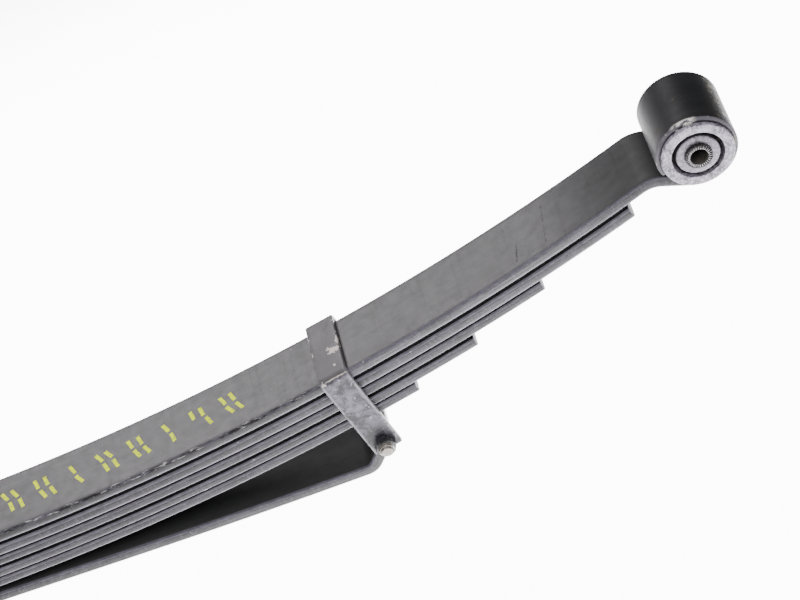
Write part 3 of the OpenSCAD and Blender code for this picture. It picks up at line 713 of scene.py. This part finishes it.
flange_y = -W / 2 - FLANGE_T
SH_R = EYE_IN
SH_I = EYE_IN - SHELL_T
for side, mir in (("front", False), ("rear", True)):
    pk, sl, cl, tb = "leaf_pack", side + "_sleeve", side + "_clip", side + "_tube"
    # shell: flange with a rolled rim, tube through the eye
    prof = fillet([(SH_I, flange_y), (FLANGE_R, flange_y), (FLANGE_R, -W / 2 - 0.03), (SH_R - 0.02, -W / 2 - 0.03), (SH_R - 0.02, W / 2), (SH_I, W / 2)],
                  [0.5, 1.1, 0.5, 0, 0.4, 0.4], 5)
    turned(side + "_shell_turned", EYE, prof, pk, mat_shell, 160, node=side + "_bushing_shell", slot="bushing_shell", mirror=mir, sharp=40)
    rf, rb_ = flange_y + 0.4, W / 2 + 1.0
    gi, go = RING_R, SH_I - 0.02
    prof = fillet([(SLEEVE_R + 0.05, rf), (gi, rf), (gi - 0.1, rf + GROOVE * 0.98), (go, rf + GROOVE * 0.90), (go, rb_ - GROOVE + 1), (gi - 0.1, rb_ - GROOVE + 1.0), (gi, rb_), (SLEEVE_R + 0.05, rb_)],
                  [0.5, 1.0, 1.2, 0, 0, 1.2, 1.0, 0.5], 5)
    # the moulded face is caught by the paint, the groove's walls are bare rubber
    fm = [1 if (prof[j][1] < rf + 1.3 and prof[(j + 1) % len(prof)][1] < rf + 1.3) or (prof[j][1] > rb_ - 1.3 and prof[(j + 1) % len(prof)][1] > rb_ - 1.3) else 0 for j in range(len(prof))]
    turned(side + "_rubber_moulded", EYE, prof, pk, [mat_rubber, mat_over], 160, node=side + "_bushing_rubber", slot="bushing_rubber", mirror=mir, fm=fm, sharp=40)

    L = SLEEVE_L / 2

    def sleeve_prof(th, i):
        q = (th * TEETH / (2 * math.pi)) % 1.0
        g = min(1.0, max(0.0, (0.34 - abs(q - 0.5)) / 0.12)) * 0.72
        return [(SLEEVE_B, -L + 0.5 + g * 0.5), (SLEEVE_B + 0.45, -L + g), (9.1, -L + g), (SLEEVE_R - 0.5, -L + g), (SLEEVE_R, -L + 0.45 + g * 0.5),
                (SLEEVE_R, -L + 1.6), (SLEEVE_R, -20), (SLEEVE_R, 20), (SLEEVE_R, L - 1.6),
                (SLEEVE_R, L - 0.45 - g * 0.5), (SLEEVE_R - 0.5, L - g), (9.1, L - g), (SLEEVE_B + 0.45, L - g), (SLEEVE_B, L - 0.5 - g * 0.5),
                (SLEEVE_B, L - 3), (SLEEVE_B, -L + 3)]

    turned(side + "_sleeve_turned", EYE, sleeve_prof, sl, [mat_sleeve, mat_rim, mat_bore, mat_tip, mat_gap], 300, node=side + "_bushing_sleeve", slot="sleeve_steel", mirror=mir,
           fm=lambda i, j: (4 if 1 <= i % 10 <= 6 and j in (0, 1, 2, 3, 10, 11, 12, 13) else [3, 3, 1, 1, 0, 0, 0, 0, 0, 1, 1, 3, 3, 2, 2, 2][j]), sharp=28)

    # strap: one flat bar bent to a U over the pack
    ho, r_o = W / 2 + CLIP_GAP + CLIP_T, 6.0
    top = T1 + CLIP_GAP + CLIP_T
    path = [(-ho, z, 1, 0) for z in np.linspace(-CLIP_DROP, top - r_o, 40)]
    path += [(-ho + r_o - r_o * math.cos(a), top - r_o + r_o * math.sin(a), math.cos(a), -math.sin(a)) for a in np.linspace(0, math.pi / 2, 13)[1:]]
    path += [(y, top, 0, -1) for y in np.linspace(-ho + r_o, ho - r_o, 30)[1:-1]]
    path += [(-y, z, -ny, nz_) for y, z, ny, nz_ in reversed(path[:52])]
    hw = CLIP_W / 2
    sec = fillet([(-hw, 0), (hw, 0), (hw, CLIP_T), (-hw, CLIP_T)], [1.1, 1.1, 0.9, 0.9], 5)
    loop = []
    for i, p in enumerate(sec):
        loop.append(p)
        q = sec[(i + 1) % len(sec)]
        d = math.hypot(q[0] - p[0], q[1] - p[1])
        for k in range(1, int(d / 3)):
            loop.append((p[0] + (q[0] - p[0]) * k / int(d / 3), p[1] + (q[1] - p[1]) * k / int(d / 3)))
    verts, faces, n = [], [], len(loop)
    rings = []
    for i, (y, z, ny, nz_) in enumerate(path):
        if i in (0, len(path) - 1):
            rings += [(y, z, ny, nz_, 0.7)] if i == 0 else [(y, z + 0.7, ny, nz_, 0.0), (y, z, ny, nz_, 0.7)]
            if i == 0:
                rings.append((y, z + 0.7, ny, nz_, 0.0))
        else:
            rings.append((y, z, ny, nz_, 0.0))
    for y, z, ny, nz_, ins in rings:
        for x, d in loop:
            x2 = x - math.copysign(ins, x) * min(1, abs(x) / hw)
            d2 = d + (ins if d < CLIP_T / 2 else -ins) * abs(d - CLIP_T / 2) / (CLIP_T / 2)
            verts.append(on_arch(CLIP_A, x2, y + ny * d2, z + nz_ * d2))
    for i in range(len(rings) - 1):
        for j in range(n):
            faces.append((i * n + j, i * n + (j + 1) % n, (i + 1) * n + (j + 1) % n, (i + 1) * n + j))
    faces.append(tuple(range(n))[::-1])
    faces.append(tuple((len(rings) - 1) * n + j for j in range(n)))
    V = np.array(verts)
    q = faces[n * 5 + 2]
    if np.dot(np.cross(V[q[1]] - V[q[0]], V[q[2]] - V[q[0]]), V[q[0]] - V[5 * n : 6 * n].mean(0)) < 0:
        faces = [f[::-1] for f in faces]
    ed = [1.0 if abs(abs(x) - hw) < 1.2 and d < 0.9 else 0.0 for _ in rings for x, d in loop]
    make(side + "_strap_bent", verts, faces, cl, mat_strap, {"edge": ("FLOAT", ed)}, mirror=mir, node=side + "_clip_strap", slot="clip_paint", sharp=40)

    # spacer tube on the bolt
    prof = fillet([(5.06, -W / 2 - 0.3), (8, -W / 2 - 0.3), (8, W / 2 + 0.3), (5.06, W / 2 + 0.3)], 0.4, 4)
    turned(side + "_tube_turned", BOLT, prof, tb, mat_tube, 72, node=side + "_clip_tube", slot="tube_steel", mirror=mir)

    # bolt: threaded end on the photographed side, hex head on the other
    yb0, yb1, yn = -ho - 11.5, ho + 1.0, -ho

    def bolt_prof(th, i):
        out = [(0.01, yb0), (2.0, yb0), (4.1, yb0), (4.45, yb0 + 0.25)]
        for k in range(1, 90):
            y = yb0 + 0.35 + k * 0.19
            f = (y / 1.5 + th / (2 * math.pi)) % 1.0
            fade = min(1.0, k / 5.0) * min(1.0, max(0.0, (89 - k) / 6.0))
            lim = min(5.0, 4.45 + (y - yb0) * 0.5)
            out.append((min(lim, 5.0 - 0.62 * fade * (1 - abs(2 * f - 1))), y))
        out += [(5.0, yb0 + 20), (5.0, 0.0), (5.0, yb1 - 0.8), (5.0, ho - 0.02), (8.2, ho - 0.02), (8.2, ho + 0.8)]
        a = (th) % (math.pi / 3) - math.pi / 6
        r = 8.0 / math.cos(a)
        rc = 8.0 * 0.97
        out += [(rc, ho + 0.8 + 0.02), (r, ho + 0.8 + 0.2), (r, ho + 7.0 - (r - rc) * 0.5), (rc, ho + 7.0 - 0.03), (rc - 0.4, ho + 7.0), (3.0, ho + 7.0), (0.01, ho + 7.0)]
        return out

    turned(side + "_clip_bolt_made", BOLT, bolt_prof, cl, mat_zinc, 96, node=side + "_clip_bolt", slot="clip_fastener", mirror=mir, sharp=25)

    def nut_prof(th, i):
        a = (th - rad(12)) % (math.pi / 3) - math.pi / 6
        r = 8.0 / math.cos(a)
        rc = 7.75
        c = (r - rc) * 0.55
        y0, y1 = yn - 7.0, yn - 0.03
        col = 6.6
        return [(5.03, y1), (rc, y1), (r, y1 - c * 0.3 - 0.05), (r, y0 + c), (rc, y0 + 0.06), (rc - 0.5, y0), (col + 0.15, y0 - 0.02),
                (col, y0 - 0.35), (col, y0 - 2.3), (col - 0.25, y0 - 2.75), (col - 0.7, y0 - 3.0), (5.5, y0 - 3.0), (5.03, y0 - 2.6)]

    turned(side + "_clip_nut_made", BOLT, nut_prof, cl, [mat_hex, mat_zinc], 120, rot=rad(12), node=side + "_clip_nut", slot="clip_fastener", mirror=mir,
           fm=[0, 0, 0, 0, 0, 0, 1, 1, 1, 1, 1, 1, 0], sharp=30)

# ---- centre bolt and nut
CB = np.array([0.0, 0, 0])
TOPZ = ARCH_Z - R1I


def centre_prof(th, i):
    out = [(0.01, -6), (7.0, -6), (7.6, -5.85), (8, -5.3), (8, -0.02), (6.35, 1.55), (6.35, 20), (6.35, 60), (6.35, TOPZ + 4)]
    for k in range(1, 48):
        z = TOPZ + 4 + k * 0.2
        f = (z / 1.75 + th / (2 * math.pi)) % 1.0
        fade = min(1.0, k / 5.0)
        out.append((min(6.35 - 0.75 * fade * (1 - abs(2 * f - 1)), 6.35 - max(0, z - TOPZ - 12.6) * 0.7), z))
    out += [(4.9, TOPZ + 13.9), (4.4, TOPZ + 14.0), (0.01, TOPZ + 14.0)]
    return out


turned("centre_bolt_made", CB, centre_prof, "leaf_pack", mat_centre, 96, axis="Z", node="centre_bolt", slot="centre_steel", sharp=28)


def cnut_prof(th, i):
    a = th % (math.pi / 3) - math.pi / 6
    r = 9.5 / math.cos(a)
    rc = 9.25
    c = (r - rc) * 0.55
    z0, z1 = TOPZ + 0.05 + 1.2, TOPZ + 0.05 + 10.8
    return [(6.38, TOPZ + 0.06), (10.8, TOPZ + 0.06), (11.0, TOPZ + 0.3), (11.0, z0 - 0.2), (10.8, z0), (rc + 0.2, z0 + 0.01), (r, z0 + c * 0.3 + 0.06), (r, z1 - c), (rc, z1 - 0.05), (rc - 0.5, z1), (7.0, z1), (6.38, z1 - 0.5)]


turned("centre_nut_made", CB, cnut_prof, "leaf_pack", mat_centre, 96, axis="Z", node="centre_nut", slot="centre_steel", sharp=28)

# ---- floor, light, camera
# the floor glows like a light table: a painted pool of light round the spring, dimmed towards the front and the -x side
fl = M("floor_pale")
o = fl.obj()
fd = fl.n("ShaderNodeVectorMath", operation="LENGTH")
fl.put(fd.inputs[0], fl.move(o, loc=(-0.42 / 1.25, -0.18 / 1.0, 0.30), s=(1 / 1.25, 1.0, 1.0)))
glow = fl.ramp(fd.outputs["Value"], 0.85, 1.5, 11.5, 0.7)
fs = fl.sep(o)
dim = fl.math("MULTIPLY", fl.ramp(fs[1], -0.04, -0.40), fl.ramp(fs[0], 0.60, 0.0, 0.08, 0.84))
glow = fl.math("MULTIPLY", glow, fl.math("SUBTRACT", 1.0, dim))
fl.out(fl.mix(fl.ramp(fl.noise(o, 1.2, 3), 0.3, 0.7), (0.87, 0.87, 0.87), (0.9, 0.9, 0.9)), 0.8, 0.0, fl.bump(fl.noise(o, 60, 3), 0.03, 0.001), **{"Specular IOR Level": 0.2, "Emission Color": (1.0, 0.995, 1.0, 1.0)})
fl.put(fl.b.inputs["Emission Strength"], glow)
FZ = -0.30
me = bpy.data.meshes.new("floor")
gx = np.linspace(-9, 9, 13)
vs = [(x, y, FZ) for y in gx for x in gx]
me.from_pydata(vs, [], [(i * 13 + j, i * 13 + j + 1, (i + 1) * 13 + j + 1, (i + 1) * 13 + j) for i in range(12) for j in range(12)])
me.materials.append(fl.m)
floor = bpy.data.objects.new("floor", me)
bpy.context.scene.collection.objects.link(floor)

world = bpy.data.worlds.new("studio")
world.use_nodes = True
world.node_tree.nodes["Background"].inputs[0].default_value = (0.98, 0.985, 1.0, 1)
world.node_tree.nodes["Background"].inputs[1].default_value = 0.10
bpy.context.scene.world = world


def area(name, loc, target, sx, sy, watts, col=(1, 1, 1)):
    d = bpy.data.lights.new(name, "AREA")
    d.shape = "RECTANGLE"
    d.size, d.size_y, d.energy, d.color = sx, sy, watts, col
    ob = bpy.data.objects.new(name, d)
    ob.location = loc
    ob.rotation_euler = (Vector(target) - Vector(loc)).to_track_quat("-Z", "Y").to_euler()
    bpy.context.scene.collection.objects.link(ob)
    return ob


area("overhead", (0.2, -1.3, 3.2), (0.2, 0, 0), 5.0, 3.2, 150)
area("back_panel", (-0.32, 3.0, 2.80), (0.1, 0, 0.1), 2.0, 1.4, 146, (1.0, 0.968, 0.992))

cd = bpy.data.cameras.new("cam")
cd.sensor_width = 36.0
cd.lens = 135.703
cd.clip_end = 60.0
cam = bpy.data.objects.new("cam", cd)
R = (0.94732137, -0.18466449, -0.2616892)
D = (-0.31828597, -0.63391736, -0.70487078)
F = (-0.03572472, 0.75103116, -0.65929958)
P = (0.57107387, -1.81930534, 1.74650370)
cam.matrix_world = Matrix(((R[0], -D[0], -F[0], P[0]), (R[1], -D[1], -F[1], P[1]), (R[2], -D[2], -F[2], P[2]), (0, 0, 0, 1)))
bpy.context.scene.collection.objects.link(cam)
bpy.context.scene.camera = cam
